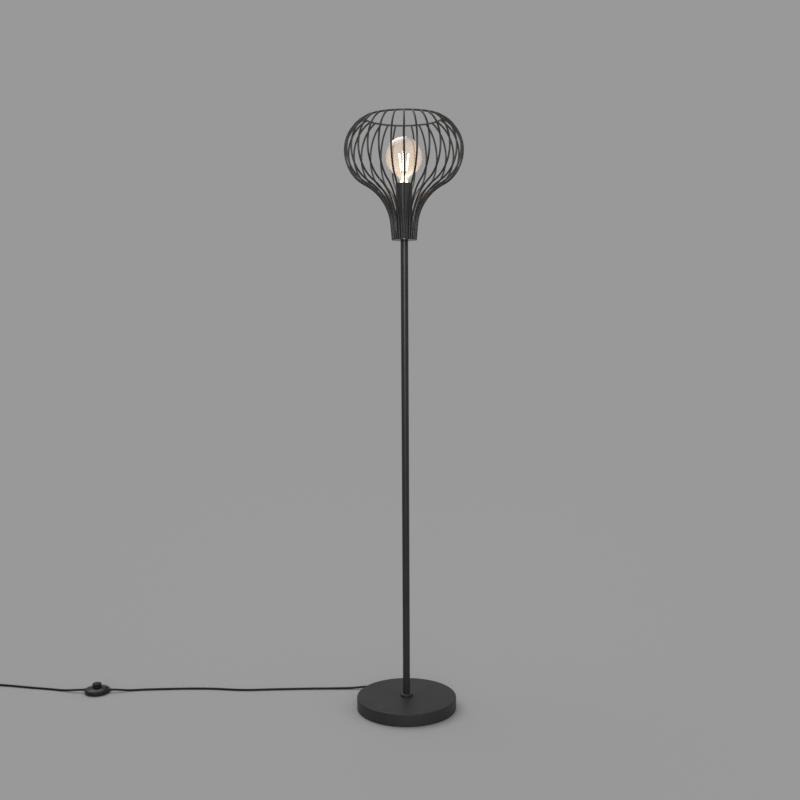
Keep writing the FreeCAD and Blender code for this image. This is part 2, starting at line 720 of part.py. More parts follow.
# ---------------------------------------------------------------- foot switch
def oval(half_length, half_width, low, high):
    """An upright oval cylinder about the switch's own middle."""
    edge = Part.Ellipse(Vector(0, 0, low), half_length, half_width).toShape()
    return Part.Face(Part.Wire([edge])).extrude(Vector(0, 0, high - low))


def oval_dome(half_length, half_width, low, rise):
    """Half of a flattened oval ball standing on the level low."""
    ball = Part.makeSphere(half_width, Vector(), Vector(0, 0, 1), 0, 90, 360)
    stretch = Matrix()
    stretch.scale(Vector(half_length / half_width, 1, rise / half_width))
    dome = ball.transformGeometry(stretch)
    dome.translate(Vector(0, 0, low))
    return dome


def upright(radius, low, high, x=0.0, y=0.0):
    return Part.makeCylinder(radius, high - low, Vector(x, y, low))


def make_switch():
    here = Placement(Vector(SWITCH_PLACE[0], SWITCH_PLACE[1], 0), Rotation())
    half_length = number("switch_half_length")
    half_width = number("switch_half_width")
    wall = number("switch_wall")
    pad_top = number("switch_pad_height")
    inset = number("switch_pad_inset")
    parting = number("switch_parting")
    floor = pad_top + wall
    rise = number("switch_dome_rise")
    station = number("screw_station")
    boss = number("screw_boss_radius")
    screw = number("screw_radius")
    screw_fit = screw + number("hole_clearance")
    head_seat = parting + number("screw_seat_rise")
    head_height = number("screw_head_height")
    entry_fit = number("grommet_radius") + number("thread_clearance")
    inner_end = half_length - number("grommet_in")
    entry = Part.makeCompound([
        Part.makeCylinder(entry_fit, number("grommet_in") + 5,
                          Vector(side * (inner_end - 1), 0, parting), Vector(side, 0, 0))
        for side in (1, -1)])

    solid_piece("switch_pad", oval(half_length - inset, half_width - inset, 0, pad_top), here)

    tray = oval(half_length, half_width, pad_top, parting)
    tray = tray.makeFillet(1.0, [edge for edge in tray.Edges
                                 if abs(edge.BoundBox.ZMax - pad_top) < 1e-6])
    tray = tray.cut(oval(half_length - wall, half_width - wall, floor, parting + 1))
    for side in (1, -1):
        tray = tray.fuse(upright(boss, floor, parting, side * station))
        tray = tray.cut(upright(screw_fit, floor, parting + 1, side * station))
    solid_piece("switch_base", tray.cut(entry).removeSplitter(), here)

    outer = oval_dome(half_length, half_width, parting, rise)
    inner = oval_dome(half_length - wall, half_width - wall, parting, rise - wall)
    cover = outer.cut(inner)
    for side in (1, -1):
        post = upright(boss, parting, parting + rise, side * station)
        cover = cover.fuse(post.common(outer))
        cover = cover.cut(upright(number("screw_head_radius") + 0.3, head_seat,
                                  parting + rise, side * station))
        cover = cover.cut(upright(screw_fit, parting - 1, head_seat + 1, side * station))
    opening = number("button_radius") + number("button_gap")
    cover = cover.cut(upright(opening, parting + 3, parting + rise + 2)).cut(entry)
    solid_piece("switch_cover", cover.removeSplitter(), here)

    screws = []
    for side in (1, -1):
        x = side * station
        shank = upright(screw, floor + 1, head_seat, x)
        head = upright(number("screw_head_radius"), head_seat, head_seat + head_height, x)
        slot = Part.makeBox(7, 0.8, 0.8, Vector(x - 3.5, -0.4, head_seat + head_height - 0.8))
        screws.append(shank.fuse(head).cut(slot).removeSplitter())
    solid_piece("switch_screws", Part.makeCompound(screws), here)

    grommets = []
    for side in (1, -1):
        length = number("grommet_in") + number("grommet_out")
        grommets.append(Part.makeCylinder(number("grommet_radius"), length,
                                          Vector(side * inner_end, 0, parting),
                                          Vector(side, 0, 0)))
    solid_piece("switch_grommets", Part.makeCompound(grommets), here)
    make_switch_works(here, floor, parting)


def make_switch_works(here, floor, parting):
    """The push button, its plunger and spring, and the contact block under them."""
    button = size("button_radius")
    top = size("button_height")
    travel = size("button_travel")
    skirt_foot = size("switch_pad_height") + size("switch_wall") + size("block_height") + 0.5
    skirt_foot = skirt_foot + travel
    bore = button - size("button_wall")
    ceiling = top - size("button_wall")
    flange = button + size("button_flange")
    hollow_width = size("switch_half_width") - size("switch_wall")
    hollow_rise = size("switch_dome_rise") - size("switch_wall")
    share = flange / hollow_width
    flange_top = (size("switch_parting") + hollow_rise * root(1 - share * share)
                  - size("button_gap"))
    flange_foot = flange_top - 1.2
    at_switch = Placement(Vector(SWITCH_PLACE[0], SWITCH_PLACE[1], 0), Rotation())
    piece("switch_button", lathe("switch_button", [
        (0, ceiling), (bore, ceiling), (bore, skirt_foot), (button, skirt_foot),
        (button, flange_foot), (flange, flange_foot), (flange, flange_top),
        (button, flange_top), (button, top), (0, top)],
        rounds=[(button, top, size("button_round"))], place=at_switch))

    seat = size("plunger_seat_height")
    rod = size("plunger_radius")
    rod_foot = size("switch_pad_height") + size("switch_wall") + travel + 0.4
    piece("switch_plunger", lathe("switch_plunger", [
        (0, rod_foot), (rod, rod_foot), (rod, seat), (size("plunger_seat_radius"), seat),
        (size("plunger_seat_radius"), seat + 2), (rod + 1, seat + 2), (rod + 1, ceiling),
        (0, ceiling)], place=at_switch))

    block_top = floor + number("block_height")
    length = number("block_length")
    width = number("block_width")
    block = Part.makeBox(length, width, number("block_height"),
                         Vector(-length / 2, -width / 2, floor))
    well = upright(number("plunger_radius") + number("hole_clearance"), floor, block_top + 1)
    solid_piece("switch_block", block.cut(well), here)

    wire = number("spring_wire_radius")
    coil = number("spring_radius")
    low = block_top + wire
    high = number("plunger_seat_height") - wire

    def on_spring(turn):
        angle = 2 * math.pi * turn
        height = low + (high - low) * turn / SPRING_TURNS
        return Vector(coil * math.cos(angle), coil * math.sin(angle), height)

    knots = SPRING_TURNS * KNOTS_PER_TURN
    first = (on_spring(0.001) - on_spring(-0.001)).normalize()
    edges = winding(on_spring, SPRING_TURNS, knots, (first, first))[1]
    solid_piece("switch_spring", sweep(Part.Wire(edges), wire), here)

    contacts = []
    contact_screws = []
    leads = []
    lead = number("lead_radius")
    for side in (1, -1):
        for row in (1, -1):
            x = side * (length / 2 + 1.5)
            y = row * 6.5
            contacts.append(Part.makeBox(3.0, 5.0, 5.0, Vector(x - 1.5, y - 2.5, floor)))
            contact_screws.append(upright(1.3, floor + 5.0, floor + 6.0, x, y))
            start = number("switch_half_length") - number("grommet_in") - 0.8
            route = [(start, 3.3, parting), (start - 0.6, 4.3, parting - 0.1),
                     (start - 2.6, 6.0, parting - 0.6), (start - 6.7, 7.2, parting - 1.8),
                     (start - 12.7, 6.9, floor + 3.0), (length / 2 + 3.3, 6.5, floor + 2.5)]
            leads.append(sweep(rounded_route([Vector(side * run, row * out, level)
                                              for run, out, level in route])[0], lead))
    solid_piece("switch_contacts", Part.makeCompound(contacts), here)
    solid_piece("switch_contact_screws", Part.makeCompound(contact_screws), here)
    solid_piece("switch_leads", Part.makeCompound(leads), here)


# ---------------------------------------------------------------- cord on the floor
def make_lead(tip):
    """From the base's boot to the switch, along the floor."""
    on_floor = number("cord_radius")
    parting = number("switch_parting")
    switch_end = SWITCH_PLACE[0] + number("switch_half_length") + number("grommet_out")
    start = at_exit(tip)
    points = [start, start + outward * 17,
              Vector(-125.0, 144.6, on_floor + 4.2), Vector(-157.0, 143.2, on_floor + 0.8),
              Vector(-212.0, 138.5, on_floor), Vector(-283.0, 136.5, on_floor),
              Vector(-352.0, 133.6, on_floor), Vector(-405.0, 131.4, on_floor),
              Vector(-446.0, 127.8, on_floor), Vector(-492.0, 131.2, on_floor),
              Vector(-546.0, 140.4, on_floor), Vector(-612.0, 143.4, on_floor),
              Vector(-684.0, 140.6, on_floor), Vector(-746.0, 137.2, on_floor),
              Vector(-790.0, 130.6, on_floor), Vector(switch_end + 19, SWITCH_PLACE[1], parting),
              Vector(switch_end, SWITCH_PLACE[1], parting)]
    free_cord("cord_lead", points)


def make_tail():
    """From the switch along the floor to the put-away coil."""
    on_floor = number("cord_radius")
    parting = number("switch_parting")
    switch_end = SWITCH_PLACE[0] - number("switch_half_length") - number("grommet_out")
    points = [Vector(switch_end, SWITCH_PLACE[1], parting),
              Vector(switch_end - 19, SWITCH_PLACE[1], parting),
              Vector(-975.0, 132.6, on_floor), Vector(-1020.0, 145.2, on_floor),
              Vector(-1080.0, 157.4, on_floor), Vector(-1130.0, 170.2, on_floor),
              Vector(-1170.0, 178.6, on_floor + 0.2), Vector(-1203.0, TAIL_END[1], float(coil_floor)),
              Vector(TAIL_END[0], TAIL_END[1], float(coil_floor))]
    free_cord("cord_tail", points)


def coil_turning():
    """The coil's centre line as a function of turns, and its turns in all."""
    centre = Vector(COIL_PLACE[0], COIL_PLACE[1], 0)
    outer = number("coil_outer_radius")
    pitch = number("coil_pitch")
    low = float(coil_floor)
    step = number("coil_layer_step")
    reversal = COIL_TURNS_IN + COIL_TURNS_UP / 2

    def on_coil(turn):
        angle = math.radians(COIL_START) + 2 * math.pi * turn
        radius = outer - pitch * (reversal - abs(turn - reversal))
        share = min(1.0, max(0.0, (turn - COIL_TURNS_IN) / COIL_TURNS_UP))
        height = low + step * share * share * (3 - 2 * share)
        return centre + Vector(radius * math.cos(angle), radius * math.sin(angle), height)

    return on_coil, COIL_TURNS_IN + COIL_TURNS_UP + COIL_TURNS_OUT


def least_gap(path, diameter):
    """The least clear gap of a winding to itself, measured on points along it."""
    spacing = 2.0
    points = path.discretize(Number=int(path.Length / spacing))
    apart = int(4 * diameter / spacing)
    return min((points[j] - points[i]).Length for i in range(len(points))
               for j in range(i + apart, len(points))) - diameter


def make_coil():
    on_coil, turns = coil_turning()
    diameter = 2 * number("cord_radius")
    heading_in = Vector(-1, 0, 0)
    heading_out = Vector(0, -1, 0)
    knots = int(turns * KNOTS_PER_TURN)
    points, edges = winding(on_coil, turns, knots, (heading_in, heading_out))
    start = points[0] - heading_in * diameter
    end = points[-1] + heading_out * diameter
    path = Part.Wire([straight(start, points[0])] + edges + [straight(points[-1], end)])
    gap = least_gap(path, diameter)
    print("cord_coil: length %.1f mm, turns %.2f, least gap to itself %.2f mm"
          % (path.Length, turns, gap))
    if gap < 0.4:
        raise ValueError("the coil's turns touch")
    solid_piece("cord_coil", sweep(path, number("cord_radius")))

    # the tie goes round the coil's turns on the side that faces the lamp
    inner = number("coil_outer_radius") - number("coil_pitch") * (COIL_TURNS_IN - 0.25)
    outer = number("coil_outer_radius") - number("coil_pitch") * 0.75
    reach = number("cord_radius") + number("tie_gap")
    thick = number("tie_thickness")
    width = number("tie_width")
    low = float(coil_floor) - reach
    high = float(coil_floor) + number("coil_layer_step") + reach
    left = COIL_PLACE[0] + inner - reach - 0.4
    right = COIL_PLACE[0] + outer + reach + 0.4
    front = COIL_PLACE[1] - width / 2
    band = Part.makeBox(right - left + 2 * thick, width, high - low + 2 * thick,
                        Vector(left - thick, front, low - thick))
    upright_edges = [edge for edge in band.Edges if abs(edge.BoundBox.YLength - width) < 1e-6]
    band = band.makeFillet(2.0, upright_edges)
    hollow = Part.makeBox(right - left, width, high - low, Vector(left, front, low))
    hollow = hollow.makeFillet(1.2, [edge for edge in hollow.Edges
                                     if abs(edge.BoundBox.YLength - width) < 1e-6])
    solid_piece("cord_tie", band.cut(hollow))
    return end


def make_plug(coil_end):
    """The last stretch of cord, and the flat two-pin plug that lies beside the coil."""
    axis = number("plug_thickness") / 2
    x = coil_end.x
    tip = coil_end.y - CORD_END_RUN
    thirds = CORD_END_RUN / 3
    free_cord("cord_end", [coil_end, Vector(x, coil_end.y - thirds - 1, coil_end.z),
                           Vector(x, tip + thirds, axis), Vector(x, tip, axis)])

    half = size("plug_width") / 2
    rear = size("plug_rear_width") / 2
    length = size("plug_length")
    body = prism("plug_blank", [
        (-rear, 0), (rear, 0), (half, length * 0.55), (half, length), (-half, length),
        (-half, length * 0.55)], 0, size("plug_thickness"))
    rounded = body.newObject("PartDesign::Fillet", "plug_rounding")
    blank = body.Tip if body.Tip != rounded else body.Group[1]
    rounded.Base = (blank, ["Edge%d" % index for index, edge in enumerate(blank.Shape.Edges, 1)
                            if abs(edge.CenterOfMass.y - float(length)) > 1e-3])
    rounded.setExpression("Radius", "Sizes.plug_round")
    doc.recompute()
    boot = lathe("plug_boot", [
        (0, -size("plug_boot_length")), (size("gland_boot_tip"), -size("plug_boot_length")),
        (size("gland_boot_root"), 1), (0, 1)])
    boot.Placement = Placement(Vector(0, 0, axis), Rotation(Vector(1, 0, 0), -90))
    whole = fuse("plug_body", body, boot)
    facing = Rotation(Vector(0, 0, 1), 180)
    rear_face = Vector(x, tip - number("plug_boot_length"), 0)
    whole.Placement = Placement(rear_face, facing)
    piece("plug_body", whole)

    pins = []
    sleeves = []
    for side in (1, -1):
        start = rear_face + Vector(side * number("pin_spacing") / 2, -number("plug_length"), axis)
        sleeves.append(Part.makeCylinder(number("pin_radius"), number("pin_sleeve_length"),
                                         start, Vector(0, -1, 0)))
        bare = start + Vector(0, -number("pin_sleeve_length"), 0)
        bare_length = number("pin_length") - number("pin_sleeve_length")
        pin = Part.makeCylinder(number("pin_radius"), bare_length, bare, Vector(0, -1, 0))
        far_edge = [edge for edge in pin.Edges
                    if edge.BoundBox.YMax < bare.y - bare_length + 1e-3]
        pins.append(pin.makeFillet(number("pin_radius") * 0.8, far_edge))
    solid_piece("plug_pin_sleeves", Part.makeCompound(sleeves))
    solid_piece("plug_pins", Part.makeCompound(pins))


# ---------------------------------------------------------------- the lamp
make_base()
inner_face, boot_tip = make_gland()
make_pole()
make_cage()
make_holder()
make_bulb()
make_inner_cord(inner_face)
make_switch()
make_lead(boot_tip)
make_tail()
make_plug(make_coil())
doc.recompute()

faults = [item.Label for item in doc.Objects
          if "Invalid" in item.State or "Error" in item.State]
faults += [name for name, made in pieces.items()
           if made.Shape.isNull() or not made.Shape.isValid() or not made.Shape.Solids]
if faults:
    raise ValueError("pieces that failed: " + ", ".join(faults))
for name, made in pieces.items():
    made.Shape.exportStep("parts/%s.step" % name)
print("%d pieces written" % len(pieces))
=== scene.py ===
"""Wire cage floor lamp: the finishes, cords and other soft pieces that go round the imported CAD
model, and the plain studio it stands in. Metres, +Z up, origin at the middle of the base's
underside, front towards -Y."""

import math

import bmesh
import bpy
from bpy.props import FloatProperty, FloatVectorProperty, IntProperty, PointerProperty
from bpy.types import Operator, Panel, PropertyGroup
from mathutils import Matrix, Vector


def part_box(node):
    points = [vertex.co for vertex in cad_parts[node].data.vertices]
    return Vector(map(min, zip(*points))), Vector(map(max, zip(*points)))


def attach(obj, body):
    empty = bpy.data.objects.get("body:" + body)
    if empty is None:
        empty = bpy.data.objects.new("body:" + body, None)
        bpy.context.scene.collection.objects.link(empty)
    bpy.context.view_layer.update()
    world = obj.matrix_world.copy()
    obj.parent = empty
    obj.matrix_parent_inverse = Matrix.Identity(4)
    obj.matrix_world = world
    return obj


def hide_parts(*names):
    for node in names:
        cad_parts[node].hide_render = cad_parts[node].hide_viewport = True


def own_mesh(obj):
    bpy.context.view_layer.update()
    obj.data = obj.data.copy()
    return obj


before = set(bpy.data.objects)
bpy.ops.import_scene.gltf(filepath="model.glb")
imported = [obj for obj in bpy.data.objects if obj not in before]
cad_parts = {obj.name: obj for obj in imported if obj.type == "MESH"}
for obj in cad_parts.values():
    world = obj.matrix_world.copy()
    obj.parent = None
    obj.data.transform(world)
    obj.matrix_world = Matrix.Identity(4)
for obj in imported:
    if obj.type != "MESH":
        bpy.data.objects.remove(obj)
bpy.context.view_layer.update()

bl_info = {
    "name": "Wire Cage Floor Lamp",
    "version": (1, 0, 0),
    "blender": (4, 5, 0),
    "location": "3D View > Sidebar > Floor Lamp",
    "description": "Finishes, cords and soft pieces of a wire cage floor lamp",
    "category": "Object",
}

PHOTO_SIDE = 800.0  # pixels, the photograph is square
SENSOR_WIDTH = 36.0  # millimetres
FLOOR_SIDES = 96
SUNS = {  # turn about the lamp, tilt from straight down and spread, in degrees
    "front_light": (-3.0, 78.0, 24.0),
    "side_light": (50.0, 52.0, 60.0),
    "top_light": (-140.0, 28.0, 50.0),
}

MERGE_GAP = 1e-6  # metres, corners nearer than this are one
CURVE_STEPS = 10  # steps from one spline point to the next
CORD_ROUNDING = 6  # Blender's bevel resolution, which puts 16 sides round a cord
FELT_EDGE = 0.0006  # metres, how far a felt's edge is softened
TIE_WALL, TIE_CORNER = 0.0008, 0.0028  # metres
CHIP_SPACING = 0.0045  # metres from one bright chip of a filament to the next
LOW_TURNS, CLIMB_TURNS = 2.0, 0.5  # the coil's turns on the floor, and the rise to those on top

# ---------------------------------------------------------------- routes of the cord, in metres
SWITCH_ENTRY = (-0.840, 0.122, 0.009)
SWITCH_EXIT = (-0.914, 0.122, 0.009)
LEAD_ROUTE = (
    (-0.09604, 0.12293, 0.010), (-0.1055, 0.1350, 0.0095), (-0.1275, 0.1375, 0.0062),
    (-0.157, 0.1368, 0.0038), (-0.212, 0.1368, 0.003), (-0.283, 0.1365, 0.003),
    (-0.352, 0.1336, 0.003), (-0.405, 0.1314, 0.003), (-0.446, 0.1278, 0.003),
    (-0.492, 0.1312, 0.003), (-0.546, 0.1404, 0.003), (-0.612, 0.1434, 0.003),
    (-0.684, 0.1406, 0.003), (-0.746, 0.1372, 0.003), (-0.790, 0.1306, 0.003),
    (-0.821, 0.122, 0.009), SWITCH_ENTRY,
)
TAIL_ROUTE = (
    SWITCH_EXIT, (-0.933, 0.122, 0.009), (-0.975, 0.1326, 0.003), (-1.020, 0.1452, 0.003),
    (-1.080, 0.1574, 0.003), (-1.130, 0.1702, 0.003), (-1.170, 0.1786, 0.0032),
    (-1.203, 0.1812, 0.0043),
)
END_ROUTE = (
    (-1.27355, 0.137, 0.0109), (-1.27355, 0.111, 0.0109), (-1.27355, 0.087, 0.00685),
    (-1.27355, 0.062, 0.00685),
)


# ---------------------------------------------------------------- settings
def length(label, about, default):
    return FloatProperty(name=label, description=about, default=default, unit="LENGTH", precision=4)


def amount(label, about, default, most):
    return FloatProperty(name=label, description=about, default=default, min=0.0, max=most)


def share(label, about, default):
    return amount(label, about, default, 1.0)


def angle(label, about, degrees):
    return FloatProperty(name=label, description=about, default=math.radians(degrees),
                         subtype="ANGLE")


def colour(label, about, default):
    return FloatVectorProperty(name=label, description=about, default=default, subtype="COLOR",
                               min=0.0, max=1.0)


class StageSettings(PropertyGroup):
    """The floor, the lamps and the camera."""

    floor_radius: length("Floor radius", "How far the plain floor reaches", 40.0)
    floor_colour: colour("Floor colour", "Colour of the floor and backdrop", (0.378, 0.376, 0.377))
    sky_level: amount("Sky level", "Even light from all round", 0.46, 4.0)
    front_power: amount("Front light", "Strength of the even light in front", 0.66, 20.0)
    side_power: amount("Side light", "Strength of the even light from the right", 0.30, 20.0)
    top_power: amount("Top light", "Strength of the even light overhead", 1.00, 20.0)
    box_power: amount("Soft box", "Watts of the soft box in front of the lamp", 2.1, 500.0)
    box_place: FloatVectorProperty(name="Soft box place", description="Middle of the soft box",
                                   default=(-0.10, -2.7, 1.45), subtype="TRANSLATION",
                                   unit="LENGTH")
    box_size: FloatVectorProperty(name="Soft box size", description="Width and height",
                                  default=(0.36, 1.10), size=2, unit="LENGTH")
    box_spread: angle("Soft box spread", "How wide its grid lets light out", 55.0)
    camera_place: FloatVectorProperty(name="Camera place", description="Where the camera stands",
                                      default=(-0.0146, -2.5136, 1.0226), subtype="TRANSLATION",
                                      unit="LENGTH")
    camera_tilt: angle("Camera tilt", "How far the camera looks down", 9.917899)
    camera_roll: angle("Camera roll", "Clockwise turn of the camera", 0.344)
    lens_pixels: FloatProperty(name="Focal length in pixels",
                               description="Focal length in pixels of the photograph",
                               default=976.23, min=100.0)
    lens_rise: FloatProperty(name="Lens rise in pixels",
                             description="How far below the frame's middle the lens axis is",
                             default=96.0)


class CoatSettings(PropertyGroup):
    """The black powder coat on all the painted metal."""

    tint: colour("Coat colour", "Colour of the powder coat", (0.0265, 0.027, 0.028))
    grain_size: length("Grain size", "Width of one bump of the fine texture", 0.00055)
    grain_height: length("Grain height", "Height of the fine texture", 0.00005)
    roughness: share("Roughness", "Mean roughness of the coat", 0.46)


class CordSettings(PropertyGroup):
    """The two lengths of round cord and the tie."""

    radius: length("Cord radius", "Radius of the round cord", 0.003)
    tint: colour("Cord colour", "Colour of the cord's sheath", (0.0045, 0.0045, 0.005))
    inner_bend: length("Bend in the base", "Radius of the bend under the pole", 0.0135)
    coil_centre: FloatVectorProperty(name="Coil centre", description="Middle of the put-away coil",
                                     default=(-1.237, 0.143, 0.0043), subtype="TRANSLATION",
                                     unit="LENGTH")
    coil_radius: length("Coil radius", "Radius of the coil's widest turn", 0.0382)
    coil_step: length("Coil step", "Distance from one turn to the next", 0.0066)
    coil_turns: amount("Coil turns", "Turns in the coil", 4.25, 12.0)
    turn_points: IntProperty(name="Points in a turn", description="Spline points in one turn",
                             default=16, min=12)
    tie_tint: colour("Tie colour", "Colour of the tie round the coil", (0.014, 0.014, 0.015))


class BulbSettings(PropertyGroup):
    """The lit bulb."""

    glow: amount("Glow", "How bright the filaments look", 220.0, 500.0)
    glow_tint: colour("Glow colour", "Colour of the filaments' light", (1.0, 0.84, 0.60))
    lamp_power: amount("Bulb light", "Watts of light that the bulb sends out", 2.0, 100.0)
    lamp_tint: colour("Bulb light colour", "Colour of the light on the wires", (1.0, 0.72, 0.46))
    # Painted glow: the stem glass is no lamp, and this light is painted onto it.
    stem_painted_glow: amount("Stem glow", "Filament light that the cloudy stem catches", 2.2, 5.0)
    glass_tint: colour("Glass colour", "Colour of the clear glass", (1.0, 0.985, 0.965))


class LampSettings(PropertyGroup):
    """All the settings of the lamp."""

    stage: PointerProperty(type=StageSettings)
    coat: PointerProperty(type=CoatSettings)
    cord: PointerProperty(type=CordSettings)
    bulb: PointerProperty(type=BulbSettings)


# ---------------------------------------------------------------- finishes
class Finish:
    """A material round one Principled shader, with its patterns on Object coordinates."""

    def __init__(self, name, tint, roughness, metallic=0.0, **sockets):
        self.material = bpy.data.materials.new(name)
        self.material.use_nodes = True
        self.nodes = self.material.node_tree.nodes
        self.links = self.material.node_tree.links
        self.shader = self.nodes["Principled BSDF"]
        self.shader.inputs["Base Color"].default_value = (*tint, 1.0)
        self.shader.inputs["Roughness"].default_value = roughness
        self.shader.inputs["Metallic"].default_value = metallic
        for socket, value in sockets.items():
            self.shader.inputs[socket.replace("_", " ")].default_value = value
        coordinates = self.nodes.new("ShaderNodeTexCoord")
        self.place = coordinates.outputs["Object"]
        self.along = coordinates.outputs["UV"]  # a cord's own length and girth
        self.normal = None

    def join(self, source, target):
        self.links.new(source, target)

    def stretched(self, scale, place=None):
        """The coordinates with each axis scaled by its own factor."""
        mapping = self.nodes.new("ShaderNodeMapping")
        mapping.inputs["Scale"].default_value = scale
        self.join(place or self.place, mapping.inputs["Vector"])
        return mapping.outputs["Vector"]

    def noise(self, width, detail=2.0, roughness=0.5, twist=0.0, place=None):
        """Noise whose spots are about width across."""
        node = self.nodes.new("ShaderNodeTexNoise")
        node.inputs["Scale"].default_value = 1.0 / width
        node.inputs["Detail"].default_value = detail
        node.inputs["Roughness"].default_value = roughness
        node.inputs["Distortion"].default_value = twist
        self.join(place or self.place, node.inputs["Vector"])
        return node.outputs["Fac"]

    def cells(self, width):
        """Distance from the middle of cells that are about width across."""
        node = self.nodes.new("ShaderNodeTexVoronoi")
        node.inputs["Scale"].default_value = 1.0 / width
        self.join(self.place, node.inputs["Vector"])
        return node.outputs["Distance"]

    def tones(self, source, *stops):
        """The base colour from source, through the stops given as (position, colour)."""
        ramp = self.nodes.new("ShaderNodeValToRGB")
        elements = ramp.color_ramp.elements
        while len(elements) < len(stops):
            elements.new(0.5)
        for element, (position, tint) in zip(elements, stops):
            element.position = position
            element.color = (*tint, 1.0)
        self.join(source, ramp.inputs["Fac"])
        self.join(ramp.outputs["Color"], self.shader.inputs["Base Color"])

    def spread(self, source, low, high):
        """source from 0.3 to 0.7 brought to the range from low to high."""
        node = self.nodes.new("ShaderNodeMapRange")
        for socket, value in (("From Min", 0.3), ("From Max", 0.7), ("To Min", low),
                              ("To Max", high)):
            node.inputs[socket].default_value = value
        self.join(source, node.inputs["Value"])
        return node.outputs["Result"]

    def rough(self, source, low, high):
        self.join(self.spread(source, low, high), self.shader.inputs["Roughness"])

    def bump(self, source, height, strength=1.0):
        """Adds a relief of that height, on top of the reliefs before it."""
        node = self.nodes.new("ShaderNodeBump")
        node.inputs["Distance"].default_value = height
        node.inputs["Strength"].default_value = strength
        self.join(source, node.inputs["Height"])
        if self.normal is not None:
            self.join(self.normal, node.inputs["Normal"])
        self.normal = node.outputs["Normal"]
        self.join(self.normal, self.shader.inputs["Normal"])


def scaled(tint, factor):
    return tuple(min(1.0, part * factor) for part in tint)


def powder_coat(name, settings, dullness, texture, gloss=0.30, painted_light_shade=1.0):
    """Black powder coat: fine even bumps, faint clouds of colour, duller on the bumps' tops.
    dullness and texture are shares of the settings' roughness and grain height; the colour share
    paints lighter or darker copies of one black coat, as painted highlight or painted shade."""
    roughness = settings.roughness * dullness
    grain_height = settings.grain_height * texture
    # The colour share paints light or shade into the coat's own colour.
    coat = Finish(name, scaled(settings.tint, painted_light_shade), roughness, Specular_IOR_Level=gloss)
    grain = coat.noise(settings.grain_size, detail=3.0, roughness=0.62)
    clouds = coat.noise(0.045, detail=3.0, roughness=0.55)
    coat.tones(clouds, (0.32, scaled(settings.tint, 0.90 * painted_light_shade)),
               (0.68, scaled(settings.tint, 1.10 * painted_light_shade)))
    coat.rough(grain, roughness - 0.02, roughness + 0.05)
    coat.bump(coat.noise(0.006), grain_height * 0.8, strength=0.5)
    coat.bump(grain, grain_height, strength=0.8)


def zinc_plate():
    zinc = Finish("zinc_plated_steel", (0.62, 0.62, 0.60), 0.34, 1.0)
    spangle = zinc.cells(0.0035)
    zinc.tones(spangle, (0.15, (0.66, 0.66, 0.64)), (0.75, (0.55, 0.55, 0.53)))
    zinc.rough(zinc.noise(0.0016, detail=3.0), 0.26, 0.44)
    zinc.bump(zinc.noise(0.0004, place=zinc.stretched((1.0, 6.0, 1.0))), 0.00001, strength=0.5)


def cast_iron():
    iron = Finish("cast_iron", (0.075, 0.073, 0.072), 0.72, Specular_IOR_Level=0.4)
    sand = iron.noise(0.0014, detail=4.0, roughness=0.65)
    iron.tones(iron.noise(0.02, detail=4.0), (0.3, (0.052, 0.051, 0.052)),
               (0.7, (0.105, 0.094, 0.086)))
    iron.rough(sand, 0.6, 0.86)
    iron.bump(sand, 0.00022)


def pressed_felt():
    felt = Finish("pressed_felt", (0.022, 0.022, 0.024), 1.0, Sheen_Weight=0.55,
                  Sheen_Roughness=0.55, Specular_IOR_Level=0.1)
    fibres = felt.noise(0.0011, detail=4.0, roughness=0.7, twist=2.6)
    felt.tones(fibres, (0.35, (0.014, 0.014, 0.015)), (0.68, (0.040, 0.040, 0.043)))
    felt.bump(felt.noise(0.007), 0.0002, strength=0.6)
    felt.bump(fibres, 0.00022)


def glazed_ceramic():
    glaze = Finish("glazed_ceramic", (0.80, 0.79, 0.75), 0.22, Coat_Weight=0.6,
                   Coat_Roughness=0.08)
    glaze.tones(glaze.noise(0.0025, detail=4.0), (0.3, (0.76, 0.75, 0.70)),
                (0.65, (0.83, 0.82, 0.785)))
    glaze.rough(glaze.noise(0.004), 0.16, 0.30)
    glaze.bump(glaze.noise(0.003), 0.00003, strength=0.6)


def moulded_black(name, tint, low, high, grain=0.0006, height=0.00003, gloss=0.5):
    """Moulded plastic with a spark-eroded face: fine grain of that width and height, and a
    roughness that changes slowly from low to high."""
    plastic = Finish(name, tint, (low + high) / 2, Specular_IOR_Level=gloss)
    plastic.tones(plastic.noise(0.018, detail=3.0), (0.3, scaled(tint, 0.88)),
                  (0.7, scaled(tint, 1.14)))
    plastic.rough(plastic.noise(0.005, detail=3.0), low, high)
    plastic.bump(plastic.noise(grain, roughness=0.6), height, strength=0.7)


def plain_brass():
    brass = Finish("pressed_brass", (0.76, 0.56, 0.27), 0.28, 1.0)
    stain = brass.noise(0.004, detail=4.0, roughness=0.6)
    brass.tones(stain, (0.3, (0.80, 0.61, 0.31)), (0.75, (0.62, 0.43, 0.19)))
    brass.rough(stain, 0.20, 0.38)
    brass.bump(brass.noise(0.0005), 0.00001, strength=0.5)


def nickel_plate():
    nickel = Finish("nickel_plated_cap", (0.68, 0.66, 0.62), 0.2, 1.0)
    film = nickel.noise(0.005, detail=3.0)
    nickel.tones(film, (0.3, (0.72, 0.70, 0.66)), (0.7, (0.63, 0.61, 0.57)))
    nickel.rough(film, 0.14, 0.28)
    nickel.bump(nickel.noise(0.0012), 0.00002, strength=0.5)


